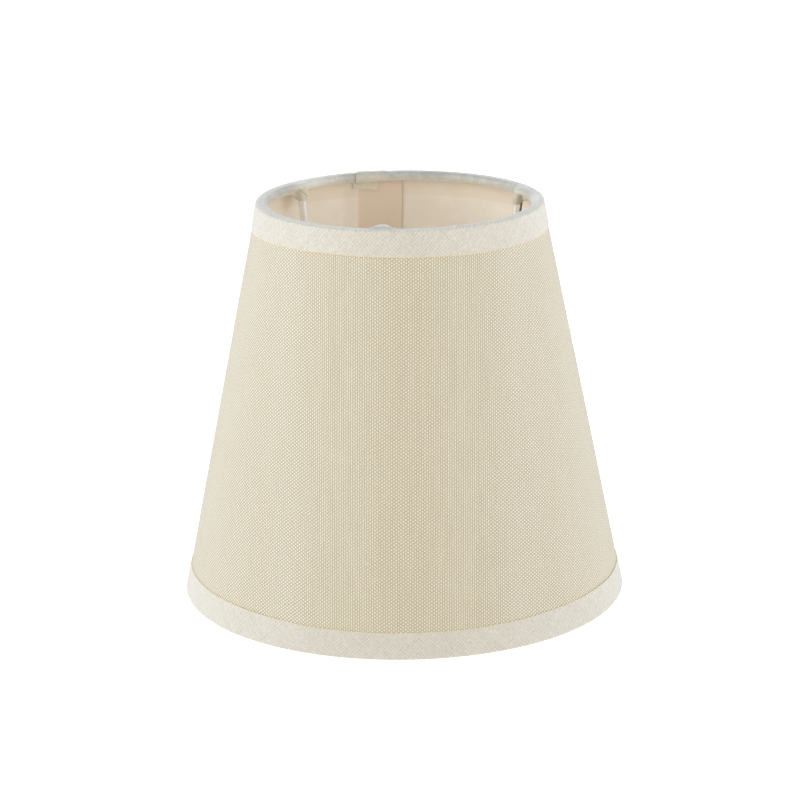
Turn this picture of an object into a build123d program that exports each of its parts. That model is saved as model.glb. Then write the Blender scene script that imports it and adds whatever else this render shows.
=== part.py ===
from build123d import *
import math
import os

# Small tapered lamp shade with a three-arm drop fitter, one solid for each piece, in millimetres.
# The origin is the centre of the bottom opening, on the surface that the shade stands on, and +Z is up.
# The front is -Y. An azimuth is counted in degrees from the front towards +X, so the back seam is near 180.
# A depth is measured square to the wall, inwards from the outer face of the bindings.

# Driving dimensions of the shade
TOP_DIAMETER = 89.0
BOTTOM_DIAMETER = 139.7
HEIGHT = 125.0

# Sheet materials
FABRIC = 0.30
LINER = 0.25
TAPE = 0.35
SEAM_TAPE = 0.08
GLUE = 0.02
FOLD_RADIUS = 0.35  # of the tape over the edge of the wall

# Bindings, measured along the wall on the outside
TOP_BAND = 8.2
BOTTOM_BAND = 8.8

# Lap of the wall at the back
SEAM_AZIMUTH = 188.2
LAP_WIDTH = 14.8
LAP_STEP_LENGTH = 3.0
SEAM_TAPE_WIDTH = 12.0

# Joint of the top binding, where the end of the strip lies over its start
JOINT_FROM, JOINT_TO = 185.5, 199.0
TAIL_FROM, TAIL_TO = 189.0, 200.0
TAIL_DROP = 6.4  # the loose end hangs this far below the rim

# Wire frame
RING_WIRE = 2.2
ARM_WIRE = 2.8
ARM_AZIMUTHS = {"front": -7.7, "left": -128.0, "right": 109.5}
ARM_INSET = 2.3  # from the ring's centre line in to the arm's
ARM_TOP_GAP = 0.5  # from the rim down to the arm's top end
ARM_LEAN = 7.0
ARM_BEND_RADIUS = 7.0
ARM_WRAP = 5.2  # length of the arm that the binding covers

# Fitter for a small Edison lampholder
FITTER_BORE = 29.0
FITTER_DIAMETER = 40.0
FITTER_METAL = 1.0
FITTER_COLLAR = 4.0
FITTER_DROP = 38.0  # from the rim down to the underside
FITTER_FILLET = 0.6

TOP_RADIUS = TOP_DIAMETER / 2
BOTTOM_RADIUS = BOTTOM_DIAMETER / 2
RING_WIRE_RADIUS = RING_WIRE / 2
ARM_WIRE_RADIUS = ARM_WIRE / 2
SLOPE = (BOTTOM_RADIUS - TOP_RADIUS) / HEIGHT
SLANT = math.hypot(1, SLOPE)

# Depths of the layers
COVER_DEPTH = TAPE + GLUE
LINER_DEPTH = COVER_DEPTH + FABRIC + GLUE
SEAM_TAPE_DEPTH = LINER_DEPTH + LINER + GLUE
LAP_STEP = FABRIC + LINER + SEAM_TAPE + 3 * GLUE
RING_DEPTH = SEAM_TAPE_DEPTH + LAP_STEP
RING_CENTRE_DEPTH = RING_DEPTH + RING_WIRE_RADIUS

# Heights
WALL_BOTTOM = TAPE + FOLD_RADIUS
WALL_TOP = HEIGHT - WALL_BOTTOM
RING_INSET = TAPE + GLUE + RING_WIRE_RADIUS  # of a ring's centre line from the end of the shade
FITTER_UNDERSIDE = HEIGHT - FITTER_DROP


def wall_radius(z, depth=0.0):
    """Radius of the surface that lies at this depth in the wall, at height z."""
    return BOTTOM_RADIUS - SLOPE * z - depth * SLANT


def polar(radius, azimuth, z=0.0):
    """A point from its radius and its azimuth."""
    angle = math.radians(azimuth)
    return Vector(radius * math.sin(angle), -radius * math.cos(angle), z)


def plane_at(azimuth):
    """The upright plane through the axis, with X outwards at this azimuth and Y up."""
    outward = polar(1, azimuth)
    return Plane(origin=(0, 0, 0), x_dir=outward, z_dir=outward.cross(Vector(0, 0, 1)))


def turned(section, azimuth_from=0.0, azimuth_to=360.0):
    """Turns a section, drawn with X outwards and Y up, round the axis between two azimuths."""
    placed = plane_at(azimuth_from) * section
    return revolve(placed, Axis.Z, azimuth_to - azimuth_from)


def arc(radius, azimuth_from, azimuth_to, z):
    """An arc round the axis at height z."""
    middle = (azimuth_from + azimuth_to) / 2
    return ThreePointArc(
        polar(radius, azimuth_from, z), polar(radius, middle, z), polar(radius, azimuth_to, z)
    )


def degrees_of(length, radius):
    return math.degrees(length / radius)


# ---- The rolled wall: fabric, liner and seam tape ----


def rolled_edges(z, depth):
    """One face of the rolled sheet at height z: the inner lap, its step outwards and the main round."""
    radius = wall_radius(z, depth)
    lapped = wall_radius(z, depth + LAP_STEP)
    half_lap = degrees_of(LAP_WIDTH / 2, radius)
    start = SEAM_AZIMUTH - half_lap
    end = SEAM_AZIMUTH + half_lap
    step_from = end + degrees_of(FABRIC + LINER, radius)
    step_to = step_from + degrees_of(LAP_STEP_LENGTH, radius)
    return [
        arc(lapped, start, step_from, z),
        Line(polar(lapped, step_from, z), polar(radius, step_to, z)),
        arc(radius, step_to, 360, z),
        arc(radius, 360, start + 360, z),
        arc(radius, start + 360, end + 360, z),
    ]


def rolled_sheet(depth, thickness):
    """A sheet rolled into a cone, with its start lapped under its end."""
    sections = []
    for z in (WALL_BOTTOM, WALL_TOP):
        outside = rolled_edges(z, depth)
        inside = rolled_edges(z, depth + thickness)
        ends = [Line(outside[0] @ 0, inside[0] @ 0), Line(outside[-1] @ 1, inside[-1] @ 1)]
        sections.append(Face(Wire(outside + inside + ends)))
    return loft(sections, ruled=True)


def make_seam_tape():
    """The adhesive strip between the two layers of the lap."""
    sections = []
    for z in (WALL_BOTTOM, WALL_TOP):
        outer, inner = (wall_radius(z, SEAM_TAPE_DEPTH + d) for d in (0, SEAM_TAPE))
        half = degrees_of(SEAM_TAPE_WIDTH / 2, outer)
        first, last = SEAM_AZIMUTH - half, SEAM_AZIMUTH + half
        outline = [
            arc(outer, first, last, z),
            arc(inner, first, last, z),
            Line(polar(outer, first, z), polar(inner, first, z)),
            Line(polar(outer, last, z), polar(inner, last, z)),
        ]
        sections.append(Face(Wire(outline)))
    return loft(sections, ruled=True)


# ---- The wire frame ----


def ring_centre(top):
    """Radius and height of a ring's centre line."""
    z = HEIGHT - RING_INSET if top else RING_INSET
    return wall_radius(z, RING_CENTRE_DEPTH), z


def make_ring(top, radius=RING_WIRE_RADIUS):
    """A closed wire ring, welded end to end."""
    centre, z = ring_centre(top)
    return Pos(0, 0, z) * Torus(centre, radius)


def arm_corners():
    """An arm's centre line in its own plane: top end, bend and inner end on the fitter."""
    ring_radius, ring_z = ring_centre(top=True)
    lean = math.tan(math.radians(ARM_LEAN))
    top_z = HEIGHT - ARM_TOP_GAP
    top_radius = ring_radius - ARM_INSET + (top_z - ring_z) * lean
    foot_z = FITTER_UNDERSIDE + FITTER_METAL + GLUE + ARM_WIRE_RADIUS
    bend_radius = top_radius - (top_z - foot_z) * lean
    inner_radius = FITTER_BORE / 2 + FITTER_METAL + FITTER_FILLET + GLUE
    return (top_radius, top_z), (bend_radius, foot_z), (inner_radius, foot_z)


def make_arm(azimuth):
    """A bent wire from the top ring down and in to the fitter, its top end shaped to fit the ring."""
    path = plane_at(azimuth) * FilletPolyline(*arm_corners(), radius=ARM_BEND_RADIUS)
    wire = sweep(Plane(path @ 0, z_dir=path % 0) * Circle(ARM_WIRE_RADIUS), path)
    return wire - make_ring(top=True, radius=RING_WIRE_RADIUS + GLUE)


def make_fitter():
    """A stamped ring: a flat flange with a collar turned up round the bore."""
    bore = FITTER_BORE / 2
    rim = FITTER_DIAMETER / 2
    flange_top = FITTER_UNDERSIDE + FITTER_METAL
    corner = (bore + FITTER_METAL, flange_top)
    outline = Polyline(
        (bore, FITTER_UNDERSIDE),
        (rim, FITTER_UNDERSIDE),
        (rim, flange_top),
        corner,
        (bore + FITTER_METAL, FITTER_UNDERSIDE + FITTER_COLLAR),
        (bore, FITTER_UNDERSIDE + FITTER_COLLAR),
        close=True,
    )
    section = make_face(outline)
    inside_corner = section.vertices().sort_by_distance(corner)[0]
    return turned(fillet(inside_corner, FITTER_FILLET))


# ---- The bindings ----


def wall_point(z, depth):
    """The point this deep in the wall, square to its outer face at height z, in a section."""
    return BOTTOM_RADIUS - SLOPE * z - depth / SLANT, z - depth * SLOPE / SLANT


def strip_section(z_from, z_to, depth_from, depth_to):
    """The part of the wall's section between two heights on its outer face and two depths."""
    corners = [
        wall_point(z_from, depth_from),
        wall_point(z_to, depth_from),
        wall_point(z_to, depth_to),
        wall_point(z_from, depth_to),
    ]
    return make_face(Polyline(*corners, close=True))


def fold_height(top):
    """Height on the outer face square out from the centre of the tape's fold over the wall's edge."""
    fold_z = WALL_TOP if top else WALL_BOTTOM
    return fold_z + (TAPE + FOLD_RADIUS) * SLOPE / SLANT


def around_two_discs(centre_a, radius_a, centre_b, radius_b):
    """The area inside a belt that runs round two discs."""
    a, b = Vector(*centre_a), Vector(*centre_b)
    run = b - a
    direction = math.atan2(run.Y, run.X)
    spread = math.acos((radius_a - radius_b) / run.length)
    above, below = (
        Vector(math.cos(direction + turn), math.sin(direction + turn)) for turn in (spread, -spread)
    )
    belt = Polyline(
        a + above * radius_a, b + above * radius_b, b + below * radius_b, a + below * radius_a, close=True
    )
    return make_face(belt) + Pos(a) * Circle(radius_a) + Pos(b) * Circle(radius_b)


def roll_section(top, thickness):
    """The outline of the tape where it goes over the wall's edge and round the ring."""
    fold = wall_point(fold_height(top), TAPE + FOLD_RADIUS)
    ring_radius = RING_WIRE_RADIUS + GLUE + thickness
    return around_two_discs(fold, FOLD_RADIUS + thickness, ring_centre(top), ring_radius)


def band_height(top):
    """Height of the free edge of a binding's outer band."""
    return HEIGHT - TOP_BAND / SLANT if top else BOTTOM_BAND / SLANT


def binding_section(top, lift=0.0):
    """A binding's section: the band outside, the roll over the edge and ring, and its end tucked under."""
    band_z, fold_z = band_height(top), fold_height(top)
    roll = roll_section(top, TAPE + lift) - roll_section(top, lift)
    band = strip_section(band_z, fold_z, -lift, TAPE - lift)
    wall = strip_section(band_z, fold_z, TAPE - lift, SEAM_TAPE_DEPTH)
    return roll + band - wall


def lap_clearance(top):
    """The space that the inner lap takes behind a binding's tucked end."""
    section = strip_section(band_height(top), fold_height(top), LINER_DEPTH, RING_DEPTH)
    half = degrees_of(LAP_WIDTH / 2 + LAP_STEP_LENGTH + FABRIC + LINER, TOP_RADIUS)
    return turned(section, SEAM_AZIMUTH - half, SEAM_AZIMUTH + half)


def make_bottom_binding():
    return turned(binding_section(top=False)) - lap_clearance(top=False)


def arm_wrap(azimuth):
    """The tape's tent over the top of one arm."""
    top, bend, _ = (Vector(*corner) for corner in arm_corners())
    along = (bend - top).normalized()
    line = plane_at(azimuth) * Line(top - along * TAPE, top + along * ARM_WRAP)
    return sweep(Plane(line @ 0, z_dir=line % 0) * Circle(ARM_WIRE_RADIUS + GLUE + TAPE), line)


def arm_room(azimuth):
    """An arm with room for glue round it."""
    path = plane_at(azimuth) * FilletPolyline(*arm_corners(), radius=ARM_BEND_RADIUS)
    return sweep(Plane(path @ 0, z_dir=path % 0) * Circle(ARM_WIRE_RADIUS + GLUE), path)


def make_top_binding():
    """The top strip, with a tent over each arm and its own end lapped over its start at the back."""
    binding = turned(binding_section(top=True))
    binding += turned(binding_section(top=True, lift=TAPE), JOINT_FROM, JOINT_TO)
    tail = strip_section(HEIGHT - TAIL_DROP, HEIGHT - RING_INSET, RING_DEPTH, RING_DEPTH + TAPE)
    binding += turned(tail, TAIL_FROM, TAIL_TO)
    for azimuth in ARM_AZIMUTHS.values():
        binding += arm_wrap(azimuth)
        binding -= arm_room(azimuth)
    binding -= make_ring(top=True, radius=RING_WIRE_RADIUS + GLUE)
    return binding - lap_clearance(top=True)


def make_nodes():
    """Every piece by its node name."""
    nodes = {
        "cover_fabric": rolled_sheet(COVER_DEPTH, FABRIC),
        "liner_sheet": rolled_sheet(LINER_DEPTH, LINER),
        "seam_adhesive_tape": make_seam_tape(),
        "top_ring_wire": make_ring(top=True),
        "bottom_ring_wire": make_ring(top=False),
        "fitter_ring": make_fitter(),
        "top_binding_tape": make_top_binding(),
        "bottom_binding_tape": make_bottom_binding(),
    }
    for side, azimuth in ARM_AZIMUTHS.items():
        nodes[f"drop_arm_{side}"] = make_arm(azimuth)
    return nodes


os.makedirs("parts", exist_ok=True)
for node_name, shape in make_nodes().items():
    export_step(shape, f"parts/{node_name}.step")
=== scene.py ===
import math

import bmesh
import bpy
import numpy as np
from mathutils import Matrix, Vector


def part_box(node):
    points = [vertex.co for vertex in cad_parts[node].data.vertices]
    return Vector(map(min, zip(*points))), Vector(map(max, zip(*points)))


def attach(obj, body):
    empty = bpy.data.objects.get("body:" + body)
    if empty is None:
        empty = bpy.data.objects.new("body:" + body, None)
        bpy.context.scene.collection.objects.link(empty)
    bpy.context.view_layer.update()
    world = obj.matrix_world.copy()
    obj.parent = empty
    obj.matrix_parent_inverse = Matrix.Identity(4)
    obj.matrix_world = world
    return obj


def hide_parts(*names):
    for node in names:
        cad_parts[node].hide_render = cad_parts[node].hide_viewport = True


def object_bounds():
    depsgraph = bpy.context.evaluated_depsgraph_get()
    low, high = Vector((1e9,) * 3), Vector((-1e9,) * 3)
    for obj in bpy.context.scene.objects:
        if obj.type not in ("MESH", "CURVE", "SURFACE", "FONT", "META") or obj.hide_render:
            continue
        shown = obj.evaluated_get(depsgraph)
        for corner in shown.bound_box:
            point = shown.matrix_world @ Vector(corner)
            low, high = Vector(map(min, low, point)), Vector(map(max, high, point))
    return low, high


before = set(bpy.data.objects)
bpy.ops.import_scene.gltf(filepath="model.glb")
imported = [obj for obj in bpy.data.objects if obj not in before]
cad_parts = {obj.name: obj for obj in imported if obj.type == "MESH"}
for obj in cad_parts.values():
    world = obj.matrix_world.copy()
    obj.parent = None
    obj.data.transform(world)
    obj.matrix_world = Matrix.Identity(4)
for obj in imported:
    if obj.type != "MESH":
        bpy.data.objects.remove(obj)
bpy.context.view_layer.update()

# Looks for a small tapered lamp shade. Shapes are worked out in millimetres and turned into metres when a
# mesh is made. An azimuth is in degrees from the front (-Y) towards +X. A depth is measured square to the
# wall, inwards from the outer face of the bindings.
MM = 0.001

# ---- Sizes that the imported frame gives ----


def ring_of(node):
    """Radius and height of a wire ring's centre line, and its wire's radius."""
    low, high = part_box(node)
    wire = (high.z - low.z) / 2
    return (high.x - low.x) / 2 / MM - wire / MM, (high.z + low.z) / 2 / MM, wire / MM


RING_TOP_RADIUS, RING_TOP_Z, WIRE_RADIUS = ring_of("top_ring_wire")
RING_BOTTOM_RADIUS, RING_BOTTOM_Z, _ = ring_of("bottom_ring_wire")
WALL_BOTTOM, WALL_TOP = (corner.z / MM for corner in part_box("cover_fabric"))
HEIGHT = WALL_TOP + WALL_BOTTOM
SLOPE = (RING_BOTTOM_RADIUS - RING_TOP_RADIUS) / (RING_TOP_Z - RING_BOTTOM_Z)
SLANT = math.hypot(1, SLOPE)
APEX_SINE = SLOPE / SLANT

# ---- Sheet sizes ----
FABRIC = 0.30
LINER = 0.25
TAPE = 0.35
SEAM_TAPE = 0.08
GLUE = 0.02
FOLD_RADIUS = 0.35
TOP_BAND = 8.2
BOTTOM_BAND = 8.8

# The depth of each layer's outer face; the layers lie GLUE apart
COVER_DEPTH = TAPE + GLUE
LINER_DEPTH = COVER_DEPTH + FABRIC + GLUE
SEAM_TAPE_DEPTH = LINER_DEPTH + LINER + GLUE
LAP_STEP = FABRIC + LINER + SEAM_TAPE + 3 * GLUE
RING_DEPTH = SEAM_TAPE_DEPTH + LAP_STEP
BOTTOM_RADIUS = RING_BOTTOM_RADIUS + SLOPE * RING_BOTTOM_Z + (RING_DEPTH + WIRE_RADIUS) * SLANT
TOP_RADIUS = BOTTOM_RADIUS - SLOPE * HEIGHT

# ---- The lap of the wall and the joints of the tapes, all at the back ----
SEAM_AZIMUTH = 188.2
LAP_WIDTH = 14.8
LAP_STEP_LENGTH = 4.5
SEAM_TAPE_WIDTH = 12.0
JOINT_FROM, JOINT_TO = 185.5, 199.0
BOTTOM_JOINT_FROM, BOTTOM_JOINT_TO = 192.0, 202.0
JOINT_SKEW = 2.1  # degrees that the top joint's fold turns on between the wall's edge and the roll's inside

# ---- The arms, whose tops the tape covers ----
ARM_WIRE_RADIUS = 1.4
ARM_AZIMUTHS = {"front": -7.7, "left": -128.0, "right": 109.5}
ARM_INSET = 2.3
ARM_LEAN = math.tan(math.radians(7.0))
ARM_CROWNS = {"front": 0.85, "left": 0.12, "right": 0.12}  # how far the tape stands up over each arm's top
ARM_WRAP_BOTTOMS = {"front": 119.3, "left": 119.75, "right": 120.2}  # the height where it stops on each arm
# How dark the painted shade in the hollow beside each arm is; below 0, it lies at smaller azimuths than the
# arm, not larger ones
ARM_HOLLOW_SHADES = {"front": 0.0, "left": 0.3, "right": -0.8}
ARM_CORNER = 0.9  # radius at which the tape turns down over an arm's top
TENT_REACH = (1.9, 5.8)  # how far round the rim from an arm the tent starts to fade and where it ends
CREASE_DEPTH = 0.32
CREASE_HEIGHT = 121.6  # where the slanting crease crosses the arm's middle
CREASE_FROM, CREASE_TO = (120.2, 121.0), (123.3, 124.2)  # heights over which it starts and ends
HOLLOW_TO = (122.6, 124.0)  # heights over which the hollow's painted shade ends
HOLLOW_AWAY, HOLLOW_WIDTH = 2.3, 0.8  # how far round the rim from the arm the hollow's painted shade lies, and how wide it is

# ---- Threads ----
WARP_PITCH = 0.71
WEFT_PITCH = 0.513
WARP_SKEW = 0.014  # slopes of the cover's upright and level threads from the flat cut's own lines
WEFT_SKEW = 0.05
THREAD_DRIFT = 0.2  # how far threads wander from an even pitch, as a share of it
BIAS_PITCH = 0.84
BIAS_DRIFT = 0.8  # and how far the tapes' threads do

# ---- Where the cover's look changes, in millimetres from its front centre ----
LINED = (17.5, 15.0)  # middle and reach of the lined stretches
LIT_SHOULDERS = (36.0, 16.0)  # middle and reach of stretches that painted light makes slightly paler
SHEEN_SIDES = (18.0, 38.0)  # where the front ends, and where the painted sheen of the sides is full
SHADED_FOOT = (290.0, 350.0)  # where painted shade starts to darken the front and where it is darkest, from the cone's apex

# ---- Where a tape's look changes along it: middle and reach, in millimetres from the end of its joint ----
SHADIEST_CREST = (262.0, 30.0)  # the stretch of its crest that painted shade greys most
LIT_ROLL_LEFT = (18.0, 15.0)  # a stretch of its roll that painted light brightens, from the joint to the left arm
LIT_ROLL_RIGHT = (198.0, 14.0)  # a second one, at the right end of the rim
JOINT_SHADOW_LINE = (0.25, 0.55)  # the painted shadow line beside the folded end
JOINT_SHADE = (0.5, 5.0)  # and the shade around it

# ---- Where it changes across it: a soft step's start and end, in millimetres from its raw edge ----
RAW_EDGE = (0.0, 0.35)
ROLL_FROM = (8.3, 9.2)
CREST_FROM, CREST_TO = (8.1, 9.0), (11.5, 13.5)
GLUED_FROM = (12.6, 15.5)


def wall_radius(z, depth):
    """Radius of the surface at this depth in the wall, at height z."""
    return BOTTOM_RADIUS - SLOPE * z - depth * SLANT


def wall_point(z, depth):
    """Radius and height of the point this deep in the wall, square to its outer face at height z."""
    return BOTTOM_RADIUS - SLOPE * z - depth / SLANT, z - depth * SLOPE / SLANT


def polar(radius, azimuth, z):
    """Points from their radii, azimuths and heights."""
    angle = np.radians(azimuth)
    radius, angle, z = np.broadcast_arrays(radius, angle, z)
    return np.stack([radius * np.sin(angle), -radius * np.cos(angle), z], axis=-1)


def smooth(value, low, high):
    """0 below low, 1 above high and a smooth step between them."""
    t = np.clip((value - low) / (high - low), 0, 1)
    return t * t * (3 - 2 * t)


def wobble(azimuth, waves):
    """A sum of waves round the axis, each given as (count, height, phase)."""
    angle = np.radians(azimuth)
    return sum(height * np.sin(count * angle + phase) for count, height, phase in waves)


def flat_cut(azimuth, z):
    """Where a point of the cone lies on the flat cut, in millimetres, with the front centre upright."""
    reach = (BOTTOM_RADIUS / SLOPE - z) * SLANT
    angle = np.radians(azimuth - 360) * APEX_SINE
    return np.stack([reach * np.sin(angle), -reach * np.cos(angle)], axis=-1)


# ---- Meshes ----
SHARP_ANGLE = math.radians(50)


def sheet_mesh(name, outer, inner, maps):
    """A closed sheet between two grids of points, with a UV map for each grid of coordinates in maps."""
    rows, columns, _ = outer.shape
    count = rows * columns
    index = np.arange(count).reshape(rows, columns)
    quads = []
    for grid, flip in ((index, False), (index + count, True)):
        corners = [grid[:-1, :-1], grid[1:, :-1], grid[1:, 1:], grid[:-1, 1:]]
        quads.append(np.stack(corners[::-1] if flip else corners, axis=-1).reshape(-1, 4))
    border = np.concatenate([index[:, 0], index[-1, 1:], index[-2::-1, -1], index[0, -2:0:-1]])
    following = np.roll(border, -1)
    quads.append(np.stack([following, border, border + count, following + count], axis=-1))
    faces = np.concatenate(quads)
    points = np.concatenate([outer.reshape(-1, 3), inner.reshape(-1, 3)]) * MM

    mesh = bpy.data.meshes.new(name)
    mesh.from_pydata(points.tolist(), [], faces.tolist())
    for map_name, grid in maps.items():
        both = np.tile(grid.reshape(-1, 2), (2, 1))
        layer = mesh.uv_layers.new(name=map_name)
        layer.data.foreach_set("uv", both[faces.reshape(-1)].astype(np.float32).reshape(-1))
    bm = bmesh.new()
    bm.from_mesh(mesh)
    bmesh.ops.recalc_face_normals(bm, faces=bm.faces)
    bm.to_mesh(mesh)
    bm.free()
    mesh.shade_smooth()
    mesh.set_sharp_from_angle(angle=SHARP_ANGLE)
    piece = bpy.data.objects.new(name, mesh)
    bpy.context.scene.collection.objects.link(piece)
    return piece


def place(piece, material, slot, *nodes):
    """Gives a piece its material and its body, and lets it stand for CAD nodes; its slot is not used."""
    piece.data.materials.append(material)
    if nodes:
        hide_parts(*nodes)
    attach(piece, "root")
    return piece


# ---- Materials ----


class Field:
    """A number that a material works out at each point of a surface."""

    def __init__(self, tree, socket):
        self.tree, self.socket = tree, socket

    def math(self, operation, *others):
        """The result of a maths operation on this field and others, or numbers."""
        node = self.tree.nodes.new("ShaderNodeMath")
        node.operation = operation
        for slot, value in zip(node.inputs, (self, *others)):
            if isinstance(value, Field):
                self.tree.links.new(value.socket, slot)
            else:
                slot.default_value = value
        return Field(self.tree, node.outputs[0])

    def __add__(self, other):
        return self.math("ADD", other)

    def __sub__(self, other):
        return self.math("SUBTRACT", other)

    def __mul__(self, other):
        return self.math("MULTIPLY", other)

    def __truediv__(self, other):
        return self.math("DIVIDE", other)

    def one_minus(self):
        return self.math("MULTIPLY_ADD", -1.0, 1.0)

    def step(self, low, high):
        """0 below low, 1 above high and smooth between them."""
        node = self.tree.nodes.new("ShaderNodeMapRange")
        node.interpolation_type = "SMOOTHSTEP"
        self.tree.links.new(self.socket, node.inputs["Value"])
        node.inputs["From Min"].default_value = low
        node.inputs["From Max"].default_value = high
        return Field(self.tree, node.outputs["Result"])

    def near(self, middle, reach):
        """1 at middle, falling smoothly to 0 at reach from it."""
        return (self - middle).math("ABSOLUTE").step(0.0, reach).one_minus()


def blend_colours(tree, factor, first, second):
    """A colour between two, each a colour or a node's output. The factor is a field or a number."""
    node = tree.nodes.new("ShaderNodeMix")
    node.data_type = "RGBA"
    if isinstance(factor, Field):
        tree.links.new(factor.socket, node.inputs["Factor"])
    else:
        node.inputs["Factor"].default_value = factor
    for value, socket in ((first, node.inputs[6]), (second, node.inputs[7])):
        if isinstance(value, tuple):
            socket.default_value = (*value, 1.0)
        else:
            tree.links.new(value, socket)
    return node.outputs[2]


class Finish:
    """A material made from one Principled shader, with short names for the nodes that it needs."""

    def __init__(self, name, roughness, **values):
        self.material = bpy.data.materials.new(name)
        self.material.use_nodes = True
        self.tree = self.material.node_tree
        self.shader = self.tree.nodes["Principled BSDF"]
        self.shader.inputs["Roughness"].default_value = roughness
        for key, value in values.items():
            self.shader.inputs[key.replace("_", " ")].default_value = value

    def new(self, kind, **properties):
        node = self.tree.nodes.new(kind)
        for key, value in properties.items():
            setattr(node, key, value)
        return node

    def link(self, value, socket):
        self.tree.links.new(value.socket if isinstance(value, Field) else value, socket)

    def map(self, name):
        """The two coordinates of a UV map, in millimetres."""
        uv = self.new("ShaderNodeUVMap", uv_map=name)
        parts = self.new("ShaderNodeSeparateXYZ")
        self.link(uv.outputs[0], parts.inputs[0])
        return Field(self.tree, parts.outputs[0]), Field(self.tree, parts.outputs[1])

    def position(self):
        """The point's place on the object, in metres."""
        return self.new("ShaderNodeTexCoord").outputs["Object"]

    def join(self, x, y):
        """A vector from two fields."""
        node = self.new("ShaderNodeCombineXYZ")
        for value, socket in zip((x, y), node.inputs):
            self.link(value, socket)
        return node.outputs[0]

    def noise(self, vector, scale, detail=2.0, roughness=0.5):
        node = self.new("ShaderNodeTexNoise")
        self.link(vector, node.inputs["Vector"])
        node.inputs["Scale"].default_value = scale
        node.inputs["Detail"].default_value = detail
        node.inputs["Roughness"].default_value = roughness
        return Field(self.tree, node.outputs[0])

    def random(self, value):
        """A number from 0 to 1 for each whole number."""
        node = self.new("ShaderNodeTexWhiteNoise", noise_dimensions="1D")
        self.link(value, node.inputs["W"])
        return Field(self.tree, node.outputs[0])

    def mix(self, factor, first, second):
        return blend_colours(self.tree, factor, first, second)

    def bump(self, height, strength, distance):
        """Raises the surface by height times distance, in millimetres."""
        node = self.new("ShaderNodeBump")
        node.inputs["Strength"].default_value = strength
        node.inputs["Distance"].default_value = distance * MM
        self.link(height, node.inputs["Height"])
        self.link(node.outputs[0], self.shader.inputs["Normal"])

    def colour(self, value):
        self.link(value, self.shader.inputs["Base Color"])

    def roughness(self, value):
        self.link(value, self.shader.inputs["Roughness"])


def srgb(red, green, blue):
    """A linear colour from 8-bit display values."""
    values = (c / 255 for c in (red, green, blue))
    return tuple(c / 12.92 if c <= 0.04045 else ((c + 0.055) / 1.055) ** 2.4 for c in values)


def weave(finish, across, along):
    """Plain weave: above 0 where an upright thread is on top, below 0 where a level one is.

    Also gives how many upright and how many level threads lie between each point and the origin.
    """
    drift = finish.noise(finish.join(across, along), 0.35, 2.0)
    uprights = (across - along * WARP_SKEW) / WARP_PITCH + (drift - 0.5) * THREAD_DRIFT
    levels = (along + across * WEFT_SKEW) / WEFT_PITCH + (drift - 0.5) * THREAD_DRIFT
    over = (uprights * math.pi).math("COSINE") * (levels * math.pi).math("COSINE")
    return over, uprights, levels


def fabric_material():
    """Plain-woven cover: pale upright threads show as tall dots on tan, and as lines where it is lined."""
    f = Finish("cover_weave", 0.86, Sheen_Weight=0.4, Sheen_Roughness=0.4)
    across, along = f.map("Flat")
    over, p, q = weave(f, across, along)
    from_front = across.math("ABSOLUTE")
    ridge = (p * math.pi).math("COSINE").math("ABSOLUTE")
    thread = f.random(p.math("ROUND"))
    shade = f.noise(f.join(p * 0.30, q * 0.02), 1.0, 3.0, 0.65)
    slubs = f.noise(f.join(p * 0.9, q * 0.03), 1.0, 2.0)
    grain = f.noise(f.join(p * 1.4, q * 0.8), 1.0, 1.0) - 0.5
    patch = f.noise(f.join(across, along * 0.6), 0.22, 3.0, 0.6).step(0.32, 0.68)
    lined = from_front.near(*LINED) * (patch * 0.42 + 0.615)
    # Painted sheen: towards the sides the pale threads grow paler, the tan darker and the dots stronger
    sides = from_front.step(*SHEEN_SIDES)
    # Painted shade darkens the front towards its foot
    low = (along * -1.0).step(*SHADED_FOOT) * sides.one_minus()
    dots = (over * ridge).step(-0.12, 0.62)
    lines = ridge.math("POWER", 2.0) * (thread * 0.16 + 0.77) - 0.40
    light = dots * (lined * -0.42 + sides * 0.08 + patch * 0.10 + 0.81)
    light = light + lines * (lined * 0.57 + sides * -0.30 + 0.34) + lined * 0.16 + 0.05
    # Painted light pales the shoulders
    light = light + from_front.near(*LIT_SHOULDERS) * 0.05 - low * 0.08 + grain * 0.5
    tan = f.mix(shade.step(0.30, 0.72), srgb(195, 181, 151), srgb(200, 186, 158))
    tan = f.mix(sides * 0.3, tan, srgb(186, 172, 144))
    pale = f.mix(slubs.step(0.3, 0.7), srgb(238, 233, 217), srgb(244, 241, 228))
    pale = f.mix(sides * 0.6, pale, srgb(252, 249, 242))
    f.colour(f.mix(light, tan, pale))
    pillow = over.math("ABSOLUTE").math("POWER", 0.6)  # each crossing stands up as a rounded dot
    f.bump(pillow + thread * 0.12 + slubs * 0.25, 0.55, 0.12)
    return f.material


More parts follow.
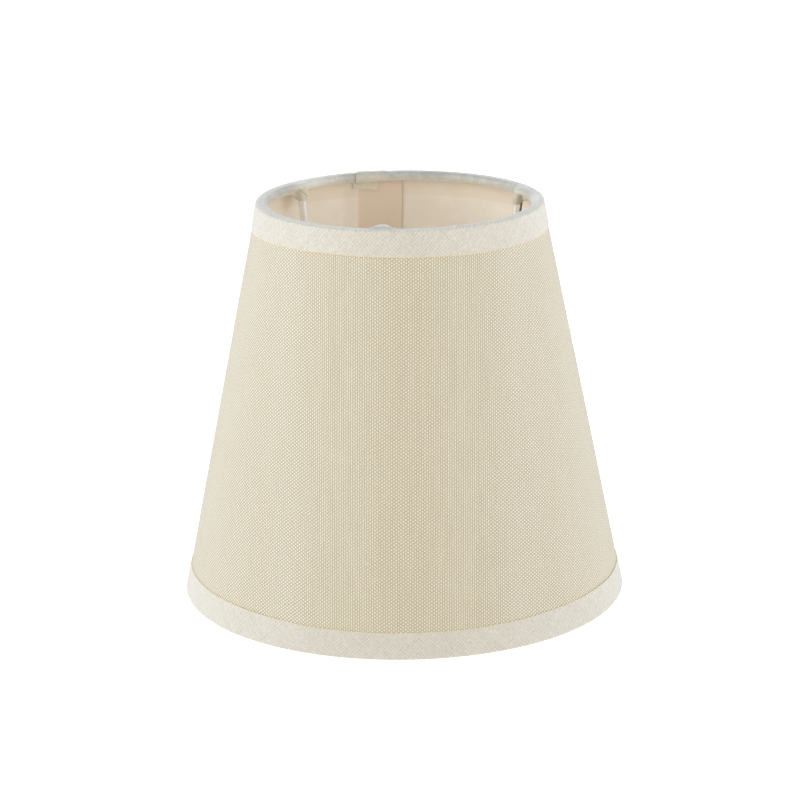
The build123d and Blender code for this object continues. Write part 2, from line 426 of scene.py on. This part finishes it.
def liner_material():
    """Warm white plastic film. Painted light makes the weave show through faintly, and painted shade darkens
    it where layers double and under the bindings; beside the lap's cut edge it has its own brown line and a
    painted shadow.
    """
    f = Finish("liner_film", 0.52, Specular_IOR_Level=0.35)
    across, along = f.map("Flat")
    seam, height = f.map("Place")
    over, _, _ = weave(f, across, along)
    mottle = f.noise(f.join(across, along), 0.09, 3.0, 0.6)
    fine = f.noise(f.join(across, along), 1.6, 2.0)
    film = f.mix(mottle.step(0.30, 0.70), srgb(246, 236, 222), srgb(239, 228, 211))
    # Painted light: the weave shows through faintly, as light from outside would
    film = f.mix(over.step(-0.4, 0.6) * 0.12, film, srgb(252, 248, 240))
    film = f.mix((fine - 0.5) * 0.25, film, srgb(206, 188, 160))
    # Painted shade where the lap doubles the layers
    doubled_shade = seam.math("ABSOLUTE").step(LAP_WIDTH / 2 - 0.5, LAP_WIDTH / 2 + 0.3).one_minus()
    film = f.mix(doubled_shade * 0.8, film, srgb(227, 206, 184))
    # Painted shade in strips under the bindings
    hem_shade = height.step(HEIGHT - TOP_BAND - 0.6, HEIGHT - TOP_BAND + 0.3)
    hem_shade = hem_shade + height.step(BOTTOM_BAND - 0.3, BOTTOM_BAND + 0.6).one_minus()
    film = f.mix(hem_shade * 0.32, film, srgb(230, 210, 186))
    # Beside the lap's cut edge: the film's own brown line, and painted shadow
    lap_edge_and_shadow = seam.near(-LAP_WIDTH / 2, 0.28)
    film = f.mix(lap_edge_and_shadow * 0.38, film, srgb(160, 134, 110))
    f.colour(film)
    f.roughness(mottle * 0.15 + 0.44)
    f.bump(fine + over * 0.3, 0.18, 0.05)
    return f.material


def tape_material(name, lean, painted_shade):
    """Ivory bias-cut tape: fine threads at 45 degrees to its edges, with a slight satin sheen.

    Painted shade greys it along the crest of its rim and darkens it in its folds and beside its joint, and
    painted light brightens two stretches of its roll. It is yellowed where it is glued inside and tan at its
    raw edge. lean says how much more one set of its threads stands out than the other; the last argument says
    how much painted shade darkens it all over.
    """
    f = Finish(name, 0.5, Sheen_Weight=0.55, Sheen_Roughness=0.35, Specular_IOR_Level=0.65)
    along, across = f.map("Flat")
    fold, joint = f.map("Folds")
    drift = (f.noise(f.join(along, across), 0.3, 2.0) - 0.5) * BIAS_DRIFT
    first = (along + across) / (BIAS_PITCH * math.sqrt(2)) + drift
    second = (along - across) / (BIAS_PITCH * math.sqrt(2)) - drift

    def ribs(count, others, scale):
        """One set of threads, which stands up in patches."""
        clear = f.noise(f.join(others * 0.2, count * 0.35), scale).step(0.35, 0.62)
        return (count * (2 * math.pi)).math("COSINE") * clear

    thread = f.random(second.math("ROUND") + 900.0)
    crossing = f.random(first.math("ROUND") + 400.0)
    short = f.noise(f.join(first * 0.5, second * 1.9), 1.0, 2.0)
    short = short + f.noise(f.join(first * 1.9, second * 0.5), 1.2, 2.0)
    cloud = f.noise(f.join(along, across), 0.30, 4.0, 0.65)
    fleck = f.noise(f.join(along, across), 1.9, 1.0).step(0.70, 0.78)
    relief = ribs(first, second, 1.0) * (1.0 - lean) + ribs(second, first, 1.3) * (1.0 + lean)
    shade = relief * 0.15 + thread * 0.10 + crossing * 0.10 + short * 0.78 - 0.33
    base = f.mix(shade, srgb(185, 178, 162), srgb(235, 229, 218))
    # Painted shade darkens the whole tape, by the last argument
    base = f.mix(painted_shade, base, srgb(190, 185, 172))
    base = f.mix(cloud.step(0.35, 0.75) * 0.30, base, srgb(216, 209, 195))
    # Painted shade greys the rim's crest, most over one stretch and in cloudy patches
    crest = across.step(*CREST_FROM) * across.step(*CREST_TO).one_minus()
    crest_shade = along.near(*SHADIEST_CREST) * 0.30 + cloud.step(0.40, 0.62) * 0.30 + 0.22
    base = f.mix(crest * crest_shade, base, srgb(164, 166, 164))
    on_roll = across.step(*ROLL_FROM)
    # Painted light brightens two stretches of the roll
    painted_light = along.near(*LIT_ROLL_LEFT) * 0.50 + along.near(*LIT_ROLL_RIGHT) * 0.50
    base = f.mix(painted_light * on_roll, base, srgb(250, 248, 240))
    base = f.mix(along.near(*JOINT_SHADE) * on_roll * 0.28, base, srgb(142, 142, 138))
    glued = across.step(*GLUED_FROM) + joint * 0.25
    base = f.mix(glued * 0.38, base, srgb(216, 199, 158))
    raw = across.step(*RAW_EDGE).one_minus()
    base = f.mix(raw * 0.85, base, srgb(234, 209, 160))
    # Painted shadow: a dark line beside the folded end
    base = f.mix(along.near(*JOINT_SHADOW_LINE) * 0.75, base, srgb(122, 116, 102))
    # Painted shade in the creases over the arms and in the hollows beside them
    base = f.mix(fold, base, srgb(124, 112, 86))
    f.colour(f.mix(fleck * 0.5, base, srgb(164, 157, 140)))
    f.roughness(shade * -0.2 + 0.54)
    f.bump(shade + relief * 0.2, 0.6, 0.08)
    return f.material


def plated_wire_material(name="plated_wire", dark_reflection_side=None):
    """Bright zinc-plated wire with faint drawing lines and dull spots, and perhaps a painted dark reflection
    down one side.
    """
    f = Finish(name, 0.32, Metallic=0.6, Specular_IOR_Level=0.8)
    spot = f.noise(f.position(), 420.0, 3.0, 0.6)
    drawn = f.noise(f.position(), 1500.0, 1.0)
    plated = f.mix(spot.step(0.35, 0.75), srgb(246, 244, 241), srgb(236, 233, 229))
    # Painted dark reflection down the wire's side that faces the given direction
    if dark_reflection_side:
        facing = f.new("ShaderNodeVectorMath", operation="DOT_PRODUCT")
        f.link(f.new("ShaderNodeTexCoord").outputs["Normal"], facing.inputs[0])
        facing.inputs[1].default_value = dark_reflection_side
        dark_reflection = (Field(f.tree, facing.outputs["Value"]) + (spot - 0.5) * 0.2).step(0.60, 0.72)
        plated = f.mix(dark_reflection * 0.9, plated, srgb(84, 66, 46))
    f.colour(plated)
    f.roughness(spot * 0.10 + drawn * 0.06 + 0.26)
    return f.material


def stamped_steel_material():
    """Zinc-plated pressed steel, duller than the wire, with faint rolling marks."""
    f = Finish("stamped_steel", 0.3, Metallic=1.0)
    place_on = f.position()
    marks = f.new("ShaderNodeMapping")
    marks.inputs["Scale"].default_value = (1.0, 14.0, 1.0)
    f.link(place_on, marks.inputs["Vector"])
    rolling = f.noise(marks.outputs[0], 260.0, 3.0, 0.65)
    blotch = f.noise(place_on, 180.0, 3.0, 0.6)
    f.colour(f.mix(blotch.step(0.3, 0.7), srgb(214, 213, 209), srgb(188, 186, 181)))
    f.roughness(rolling * 0.25 + 0.18)
    f.bump(rolling, 0.15, 0.03)
    return f.material


def adhesive_material():
    """Clear double-sided tape, slightly yellow, seen only at its edges."""
    f = Finish("clear_adhesive", 0.35, Specular_IOR_Level=0.5)
    streak = f.noise(f.position(), 900.0, 2.0)
    f.colour(f.mix(streak, srgb(232, 222, 192), srgb(214, 200, 164)))
    return f.material


# ---- The rolled wall, with waves as wobble() takes them ----
UPPER_SWELL = ((3, 0.10, 0.4), (7, 0.05, 1.9), (13, 0.025, 0.8))
LOWER_SWELL = ((4, 0.07, 2.2), (9, 0.035, 0.3))
UPPER_TWIST, LOWER_TWIST = 0.35, 0.22  # degrees a millimetre
LAP_COLUMNS, STEP_COLUMNS, WALL_COLUMNS = 28, 8, 330  # mesh steps round the lap, its step and the rest
WALL_ROWS = 56
SEAM_ROWS, SEAM_COLUMNS = 30, 14
FAR_FROM_SEAM = 90.0  # stands for any distance from the seam that is well past the lap


def lap_angle(length, z):
    """The angle that a length round the cover takes up at height z, in degrees."""
    return np.degrees(length / wall_radius(z, COVER_DEPTH))


def swell(azimuth, z):
    """The wall's slight unevenness, in millimetres outwards, which dies out at the rings."""
    free = np.sin(np.pi * np.clip((z - WALL_BOTTOM) / (WALL_TOP - WALL_BOTTOM), 0, 1)) ** 0.7
    upper = wobble(azimuth + UPPER_TWIST * z, UPPER_SWELL)
    lower = wobble(azimuth - LOWER_TWIST * z, LOWER_SWELL)
    return free * (upper + lower)


def rolled_grid(depth, heights):
    """Azimuths and radii of a rolled sheet's surface, from its inner lap round to its outer one."""
    z = heights[None, :]
    half = lap_angle(LAP_WIDTH / 2, z)
    start, end = SEAM_AZIMUTH - half, SEAM_AZIMUTH + half
    step_from = end + lap_angle(FABRIC + LINER, z)
    step_to = step_from + lap_angle(LAP_STEP_LENGTH, z)
    stretches = [
        (start, step_from, LAP_COLUMNS),
        (step_from, step_to, STEP_COLUMNS),
        (step_to, start + 360, WALL_COLUMNS),
        (start + 360, end + 360, LAP_COLUMNS),
    ]
    columns = [a + (b - a) * np.linspace(0, 1, n, endpoint=False)[:, None] for a, b, n in stretches]
    azimuth = np.concatenate([*columns, end + 360])
    tucked = 1 - smooth(azimuth, step_from, step_to)
    radius = wall_radius(z, depth + tucked * LAP_STEP) + swell(azimuth, z)
    return azimuth, radius


def rolled_sheet(name, depth, thickness):
    """A sheet rolled into the cone, with its start lapped under its end."""
    heights = np.linspace(WALL_BOTTOM, WALL_TOP, WALL_ROWS)
    azimuth, outside = rolled_grid(depth, heights)
    _, inside = rolled_grid(depth + thickness, heights)
    z = np.broadcast_to(heights, azimuth.shape)
    # The rows run on past 360 degrees, so the lap's outer layer is measured from the seam's second pass
    from_seam = np.where(azimuth < 360, azimuth - SEAM_AZIMUTH, azimuth - 360 - SEAM_AZIMUTH)
    seam = np.radians(from_seam) * wall_radius(z, depth)
    seam = np.where((azimuth > 300) & (azimuth < 480), FAR_FROM_SEAM, seam)
    maps = {"Flat": flat_cut(azimuth, z), "Place": np.stack([seam, z], axis=-1)}
    return sheet_mesh(name, polar(outside, azimuth, z), polar(inside, azimuth, z), maps)


def seam_strip():
    """The adhesive strip inside the lap."""
    heights = np.linspace(WALL_BOTTOM, WALL_TOP, SEAM_ROWS)[None, :]
    half = lap_angle(SEAM_TAPE_WIDTH / 2, heights)
    azimuth = SEAM_AZIMUTH + half * np.linspace(-1, 1, SEAM_COLUMNS)[:, None]
    z = np.broadcast_to(heights, azimuth.shape)
    outside, inside = (
        wall_radius(z, SEAM_TAPE_DEPTH + depth) + swell(azimuth + 360, z) for depth in (0, SEAM_TAPE)
    )
    maps = {"Flat": flat_cut(azimuth, z)}
    return sheet_mesh("seam_tape_strip", polar(outside, azimuth, z), polar(inside, azimuth, z), maps)


# ---- The bindings, with waves as wobble() takes them ----
ROLL_LUMPS = ((5, 0.025, 0.7), (11, 0.025, 2.1), (23, 0.0175, 4.0), (41, 0.0125, 1.2))
TOP_BAND_WAVES = ((1, 0.22, 2.01), (3, 0.22, 2.88), (9, 0.05, 0.2), (17, 0.03, 2.6))
BOTTOM_BAND_WAVES = ((1, -0.30, 1.57), (3, -0.30, 1.57), (8, 0.06, 1.1), (19, 0.03, 0.4))
ROLL_SLACK = 0.06  # room between the tape and the wire, on average
EDGE_PRESS = 0.6  # thickness of a band at its raw edge, as a share of the tape's
TURNED_UNDER = 0.6  # extra thickness where the end is folded under, also as a share
FINE_STEP, COARSE_STEP = 0.22, 0.9  # degrees between rows, within FINE_REACH of a joint or an arm and past it
FINE_REACH = 8
# Points across each stretch of a binding's section
BAND_COLUMNS, FOLD_COLUMNS, RIDGE_COLUMNS, ROLL_COLUMNS, TUCK_COLUMNS = 14, 6, 5, 36, 5
LAP_REACH = 16  # degrees either side of the seam where the tape stops on the lap's inner layer


def between(first, last, t):
    """Points on a straight run, for each row of ends."""
    return first[..., None, :] + (last - first)[..., None, :] * t[None, :, None]


def around(centre, radius, angle_from, angle_to, t):
    """Points on an arc in the section; the radius may differ from row to row."""
    angle = np.radians(angle_from + (angle_to - angle_from) * t)
    spokes = np.stack([np.cos(angle), np.sin(angle)], axis=-1)
    return np.asarray(centre)[None, None, :] + radius[:, None, None] * spokes[None]


def section_rows(radius, z):
    """Section points for every row from values that are plain or one for each row."""
    return np.stack(np.broadcast_arrays(radius, z), axis=-1)


def hem_section(top, azimuth, offset):
    """A binding's section at each azimuth: the band, the fold over the edge, the roll and the tuck."""
    side = 1 if top else -1
    fold_z = (WALL_TOP if top else WALL_BOTTOM) + (TAPE + FOLD_RADIUS) * APEX_SINE
    band_z = HEIGHT - TOP_BAND / SLANT if top else BOTTOM_BAND / SLANT
    centre = (RING_TOP_RADIUS, RING_TOP_Z) if top else (RING_BOTTOM_RADIUS, RING_BOTTOM_Z)
    fold = wall_point(fold_z, TAPE + FOLD_RADIUS)
    wall_angle = math.degrees(math.asin(APEX_SINE))
    roll_radius = WIRE_RADIUS + GLUE + offset + ROLL_SLACK + wobble(azimuth, ROLL_LUMPS)

    waves = TOP_BAND_WAVES if top else BOTTOM_BAND_WAVES
    edge = section_rows(*wall_point(band_z + wobble(azimuth, waves), TAPE - EDGE_PRESS * offset))
    run = around(fold, FOLD_RADIUS + offset, wall_angle, side * 90, np.linspace(0, 1, FOLD_COLUMNS))
    band = between(edge, run[:, 0], np.linspace(0, 1, BAND_COLUMNS)[:-1])
    roll = around(centre, roll_radius, side * 90, side * 268, np.linspace(0, 1, ROLL_COLUMNS))
    ridge = between(run[:, -1], roll[:, 0], np.linspace(0, 1, RIDGE_COLUMNS)[1:-1])
    from_seam = np.minimum(abs(azimuth - SEAM_AZIMUTH), abs(azimuth - 360 - SEAM_AZIMUTH))
    stop_depth = np.where(from_seam < LAP_REACH, RING_DEPTH, SEAM_TAPE_DEPTH)
    stop = section_rows(wall_radius(roll[:, -1, 1], stop_depth), roll[:, -1, 1])
    tuck = between(roll[:, -1], stop, np.linspace(0, 1, TUCK_COLUMNS)[1:])
    return np.concatenate([band, run, ridge], axis=1), np.concatenate([roll, tuck], axis=1)


def tent_section(arm, offset, from_arm, count):
    """The tape's way over an arm's top and down its inner side, in place of the roll.

    It goes inwards along the top, turns down over a corner and runs down the arm. How far it stands off the
    arm's line changes on the way down from draped, a soft mound, to pinched, which closes in beside the arm,
    but it never enters the arm.
    """
    wrap = ARM_WIRE_RADIUS + GLUE + offset
    away = abs(from_arm)
    hug = np.sqrt(np.clip(wrap**2 - from_arm**2, 0, None))
    draped = wrap * np.exp(-((from_arm / 2.9) ** 2))
    pinched = 0.9 * np.exp(-((from_arm / 1.6) ** 2)) - 0.9 * smooth(away, 1.2, 2.6)
    pinched = wrap * (pinched + 0.35 * smooth(away, 3.0, 5.0))
    crown = ARM_CROWNS[arm] * np.exp(-(((from_arm - 0.4) / 3.2) ** 2))
    top_z = HEIGHT - TAPE + offset + crown
    corner = ARM_CORNER + offset
    low_z = ARM_WRAP_BOTTOMS[arm] + 1.9 * smooth(away, 1.2, 4.5) + 0.12 * np.sin(from_arm * 2.1)
    t = np.linspace(0, 1, count)
    inward = np.clip(t / 0.25, 0, 1)[None, :]
    turn = np.radians(90 * np.clip((t - 0.25) / 0.25, 0, 1))[None, :]
    down = np.clip((t - 0.5) / 0.5, 0, 1)[None, :]
    loose = (1 - down) ** 1.5
    reach = np.maximum(hug[:, None], draped[:, None] * loose + pinched[:, None] * (1 - loose))
    z = (top_z - corner)[:, None] + corner[:, None] * np.cos(turn)
    z = z + (low_z - top_z + corner)[:, None] * down
    face = RING_TOP_RADIUS - ARM_INSET + (z - RING_TOP_Z) * ARM_LEAN - reach
    radius = RING_TOP_RADIUS + (face + corner[:, None] - RING_TOP_RADIUS) * inward
    return np.stack([radius - corner[:, None] * np.sin(turn), z], axis=-1)


def arm_distance(azimuth, arm_azimuth):
    """Distance round the rim from an arm, in millimetres."""
    turn = (azimuth - arm_azimuth + 180) % 360 - 180
    return np.radians(turn) * (RING_TOP_RADIUS - ARM_INSET)


def drape_over_arms(azimuth, offset, roll):
    """Lifts the roll into a tent over each arm."""
    for arm, arm_azimuth in ARM_AZIMUTHS.items():
        from_arm = arm_distance(azimuth, arm_azimuth)
        weight = 1 - smooth(abs(from_arm), *TENT_REACH)
        tent = tent_section(arm, offset, from_arm, roll.shape[1])
        roll = roll + weight[:, None, None] * (tent - roll)
    return roll


def crease(azimuth, z):
    """How far into a fold each point lies, from 0 to 1, where the tape is pulled over the arms."""
    amount = np.zeros(z.shape)
    for arm_azimuth in ARM_AZIMUTHS.values():
        from_arm = arm_distance(azimuth, arm_azimuth)[:, None]
        line = from_arm - (z - CREASE_HEIGHT)
        near = np.exp(-((from_arm / 2.4) ** 2)) * smooth(z, *CREASE_FROM) * (1 - smooth(z, *CREASE_TO))
        amount += near * np.exp(-((line / 0.26) ** 2))
    return amount


def hollow(azimuth, radius, z):
    """How much painted shade each point takes in the hollow beside an arm, from 0 to 1."""
    amount = np.zeros(z.shape)
    inner = smooth(RING_TOP_RADIUS - radius, -0.2, 0.8)
    for arm, arm_azimuth in ARM_AZIMUTHS.items():
        depth = ARM_HOLLOW_SHADES[arm]
        away = arm_distance(azimuth, arm_azimuth)[:, None] * math.copysign(1, depth)
        beside = np.exp(-(((away - HOLLOW_AWAY) / HOLLOW_WIDTH) ** 2))
        amount += abs(depth) * inner * beside * (1 - smooth(z, *HOLLOW_TO))
    return amount


def strip_azimuths(first, last, fine_at):
    """Azimuths along a strip, with closer rows near those in fine_at."""
    rows, azimuth = [first], first
    while azimuth < last:
        close = min(abs((azimuth - fine + 180) % 360 - 180) for fine in fine_at) < FINE_REACH
        azimuth += FINE_STEP if close else COARSE_STEP
        rows.append(min(azimuth, last))
    return np.array(rows)


def binding(name, top):
    """A strip bound over one edge of the wall and its ring, with its folded end over its start."""
    joint_from, joint_to = (JOINT_FROM, JOINT_TO) if top else (BOTTOM_JOINT_FROM, BOTTOM_JOINT_TO)
    fine_at = [joint_to, joint_from, *(ARM_AZIMUTHS.values() if top else ())]
    azimuth = strip_azimuths(joint_from, joint_to + 360, fine_at)
    before_end = np.radians(joint_to + 360 - azimuth) * (RING_TOP_RADIUS if top else RING_BOTTOM_RADIUS)
    lift = (TAPE + GLUE) * smooth(azimuth, joint_from + 358.5, joint_from + 361.5)
    turned_under = smooth(-before_end, -4.6, -3.6) * TAPE * TURNED_UNDER
    rounding = 0.3 * TAPE * (1 - smooth(before_end, 0.0, 0.5))
    past_joint = np.minimum(azimuth - joint_from, joint_to + 360 - azimuth)
    pressed = 1 - 0.35 * (1 - smooth(past_joint, joint_to - joint_from, joint_to - joint_from + 3))
    faces = []
    for offset in ((lift + TAPE + turned_under - rounding) * pressed, lift * pressed):
        band, roll = hem_section(top, azimuth, offset)
        if top:
            roll = drape_over_arms(azimuth, offset, roll)
            folds = crease(azimuth, roll[..., 1])
            roll[..., 0] += CREASE_DEPTH * folds
            # The folds map carries painted shade for the tape: half the creases' depth, and the hollows
            # beside the arms
            folds = 0.5 * folds + hollow(azimuth, roll[..., 0], roll[..., 1])
        else:
            folds = np.zeros(roll.shape[:2])
        section = np.concatenate([band, roll], axis=1)
        inside = smooth(TOP_RADIUS - section[..., 0], 0.0, 4.5) if top else 0 * section[..., 0]
        skew = JOINT_SKEW * (inside - 0.4) if top else inside
        skewed = azimuth[:, None] + skew * np.exp(-before_end / 3.0)[:, None]
        faces.append(polar(section[..., 0], skewed, section[..., 1]))
    # The flat cut is measured on the inner face, which the loop makes last
    steps = np.linalg.norm(np.diff(section, axis=1), axis=-1)
    across = np.concatenate([np.zeros((len(azimuth), 1)), np.cumsum(steps, axis=1)], axis=1)
    from_start = abs(azimuth - joint_to)[:, None]
    along = np.radians(azimuth[:, None] - joint_to - skew * np.exp(-from_start / 3.0)) * section[:, :1, 0]
    folds = np.concatenate([np.zeros(band.shape[:2]), folds], axis=1)
    over_joint = np.broadcast_to(smooth(azimuth, joint_from + 359, joint_from + 361)[:, None], folds.shape)
    maps = {"Flat": np.stack([along, across], axis=-1), "Folds": np.stack([folds, over_joint], axis=-1)}
    return sheet_mesh(name, *faces, maps)


TAIL_FROM, TAIL_WIDTH = 188.8, 11.9  # degrees
TAIL_TOP, TAIL_BOTTOM = 122.0, 118.7
TAIL_FLAT = (173.0, 14.8)  # the azimuth that its flat cut's along counts from, and the across of its top


def tape_tail():
    """The loose corner of the top tape's end, which hangs out from under the roll."""
    across, down = np.meshgrid(np.linspace(0, 1, 26), np.linspace(0, 1, 12), indexing="ij")
    azimuth = TAIL_FROM + TAIL_WIDTH * across - 1.1 * down * (across - 0.35)
    low = TAIL_BOTTOM + 0.55 * across + 0.35 * smooth(across, 0.20, 0.27)
    z = TAIL_TOP + (low - TAIL_TOP) * down
    curl = 0.10 + 0.34 * down**2 * (0.6 + 0.4 * np.sin(across * 5.0))
    inside, outside = (wall_radius(z, RING_DEPTH + depth) - curl for depth in (TAPE * 0.8, 0))
    flat = np.stack([np.radians(azimuth - TAIL_FLAT[0]) * RING_TOP_RADIUS, TAIL_FLAT[1] + down], axis=-1)
    maps = {"Flat": flat, "Folds": np.zeros(flat.shape)}
    return sheet_mesh("tape_tail", polar(inside, azimuth, z), polar(outside, azimuth, z), maps)


# ---- The stage: floor, light and camera ----
EYE_ELEVATION = math.radians(16.12)
EYE_DISTANCE = 0.8873
FOCAL_PIXELS = 2819.3
FRAME_PIXELS = 800.0
SENSOR = 36.0
OBJECT_AT = (402.14, 393.46)  # where the middle of the shade's axis falls in the frame
ROLL = -0.0124
FLOOR_REACH = 8.0
FLOOR_GLOW = 0.6
SOFTBOXES = (("left", -68, 8.5), ("right", 50, 4.5))  # azimuth and power of each
SOFTBOX_AWAY, SOFTBOX_UP, SOFTBOX_TILT = 1.19, 0.75, math.radians(62)
SOFTBOX_SIZE = (1.2, 1.0)
SOFTBOX_TINT = (0.90, 0.96, 1.0)
SIDE_TINT, FRONT_TINT, ABOVE_TINT = (0.96, 0.98, 1.0), (1.0, 0.948, 0.85), (0.90, 0.95, 1.0)


def make_camera():
    """The camera at the photo's viewing angle, aimed at the middle of the shade's axis."""
    data = bpy.data.cameras.new("camera")
    data.sensor_width = SENSOR
    data.lens = SENSOR * FOCAL_PIXELS / FRAME_PIXELS
    data.shift_x = -(OBJECT_AT[0] - FRAME_PIXELS / 2) / FRAME_PIXELS
    data.shift_y = (OBJECT_AT[1] - FRAME_PIXELS / 2) / FRAME_PIXELS
    camera = bpy.data.objects.new("camera", data)
    back = np.array([0.0, -math.cos(EYE_ELEVATION), math.sin(EYE_ELEVATION)])
    camera.location = np.array([0.0, 0.0, HEIGHT / 2 * MM]) + back * EYE_DISTANCE
    camera.rotation_euler = (math.pi / 2 - EYE_ELEVATION, 0.0, 0.0)
    camera.rotation_euler.rotate_axis("Z", ROLL)
    bpy.context.scene.collection.objects.link(camera)
    bpy.context.scene.camera = camera


def make_floor(height):
    """A plain pale floor, whose glow lights nothing else."""
    mesh = bpy.data.meshes.new("floor")
    corners = [(x * FLOOR_REACH, y * FLOOR_REACH, height) for x, y in ((-1, -1), (1, -1), (1, 1), (-1, 1))]
    mesh.from_pydata(corners, [], [(0, 1, 2, 3)])
    floor = bpy.data.objects.new("floor", mesh)
    finish = Finish("floor_paper", 0.9)
    finish.shader.inputs["Base Color"].default_value = (0.93, 0.93, 0.93, 1.0)
    finish.shader.inputs["Emission Color"].default_value = (1.0, 1.0, 1.0, 1.0)
    finish.shader.inputs["Emission Strength"].default_value = FLOOR_GLOW
    mesh.materials.append(finish.material)
    floor.visible_diffuse = False
    bpy.context.scene.collection.objects.link(floor)


def make_light():
    """Soft light from all round, brightest from the sides and dimmer from the front and from above."""
    world = bpy.data.worlds.new("studio")
    bpy.context.scene.world = world
    world.use_nodes = True
    tree = world.node_tree
    parts = tree.nodes.new("ShaderNodeSeparateXYZ")
    tree.links.new(tree.nodes.new("ShaderNodeTexCoord").outputs["Generated"], parts.inputs[0])
    x, y, z = (Field(tree, socket) for socket in parts.outputs)
    sides = x.step(0.25, 0.95) * 1.25 + (x * -1.0).step(0.25, 0.95) * 0.65
    front = (y * -1.0).step(0.1, 0.9)
    above = z.step(0.10, 0.75)
    below = (z * -1.0).step(0.0, 0.7)
    strength = sides * 0.32 - front * 0.29 - above * 0.72 - below * 0.05 + 1.15
    background = tree.nodes["Background"]
    tint = blend_colours(tree, front, SIDE_TINT, FRONT_TINT)
    tint = blend_colours(tree, above, tint, ABOVE_TINT)
    tree.links.new(tint, background.inputs["Color"])
    tree.links.new(strength.socket, background.inputs["Strength"])
    for name, azimuth, power in SOFTBOXES:
        data = bpy.data.lights.new(f"softbox_{name}", "AREA")
        data.shape = "RECTANGLE"
        data.size, data.size_y = SOFTBOX_SIZE
        data.energy = power
        data.color = SOFTBOX_TINT
        lamp = bpy.data.objects.new(f"softbox_{name}", data)
        lamp.location = polar(SOFTBOX_AWAY, azimuth, SOFTBOX_UP)
        lamp.rotation_euler = (SOFTBOX_TILT, 0.0, math.radians(azimuth))
        bpy.context.scene.collection.objects.link(lamp)


bpy.context.scene.view_settings.view_transform = "Standard"
make_camera()
make_light()

top_tape = tape_material("bias_tape_top", 0.2, 0.0)
# The bottom tape is a copy darkened all over by painted shade
shaded_bottom_tape = tape_material("bias_tape_bottom_shaded", -0.2, 0.13)
wire = plated_wire_material()
place(rolled_sheet("woven_cover", COVER_DEPTH, FABRIC), fabric_material(), "cover_fabric", "cover_fabric")
place(rolled_sheet("liner_film", LINER_DEPTH, LINER), liner_material(), "liner", "liner_sheet")
place(seam_strip(), adhesive_material(), "adhesive", "seam_adhesive_tape")
place(binding("top_bias_tape", True), top_tape, "binding", "top_binding_tape")
place(binding("bottom_bias_tape", False), shaded_bottom_tape, "binding", "bottom_binding_tape")
place(tape_tail(), top_tape, "binding")

for node in ("top_ring_wire", "bottom_ring_wire", "drop_arm_front", "drop_arm_left"):
    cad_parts[node].material_slots[0].material = wire
# The right arm's wire has a painted dark reflection down its outer side
dark_reflection_wire = plated_wire_material("dark_reflection_wire", dark_reflection_side=(0.97, -0.24, 0.0))
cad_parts["drop_arm_right"].material_slots[0].material = dark_reflection_wire
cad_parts["fitter_ring"].material_slots[0].material = stamped_steel_material()

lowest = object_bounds()[0][2]  # the hem's lumps, just below the CAD's own lowest point
make_floor(lowest)
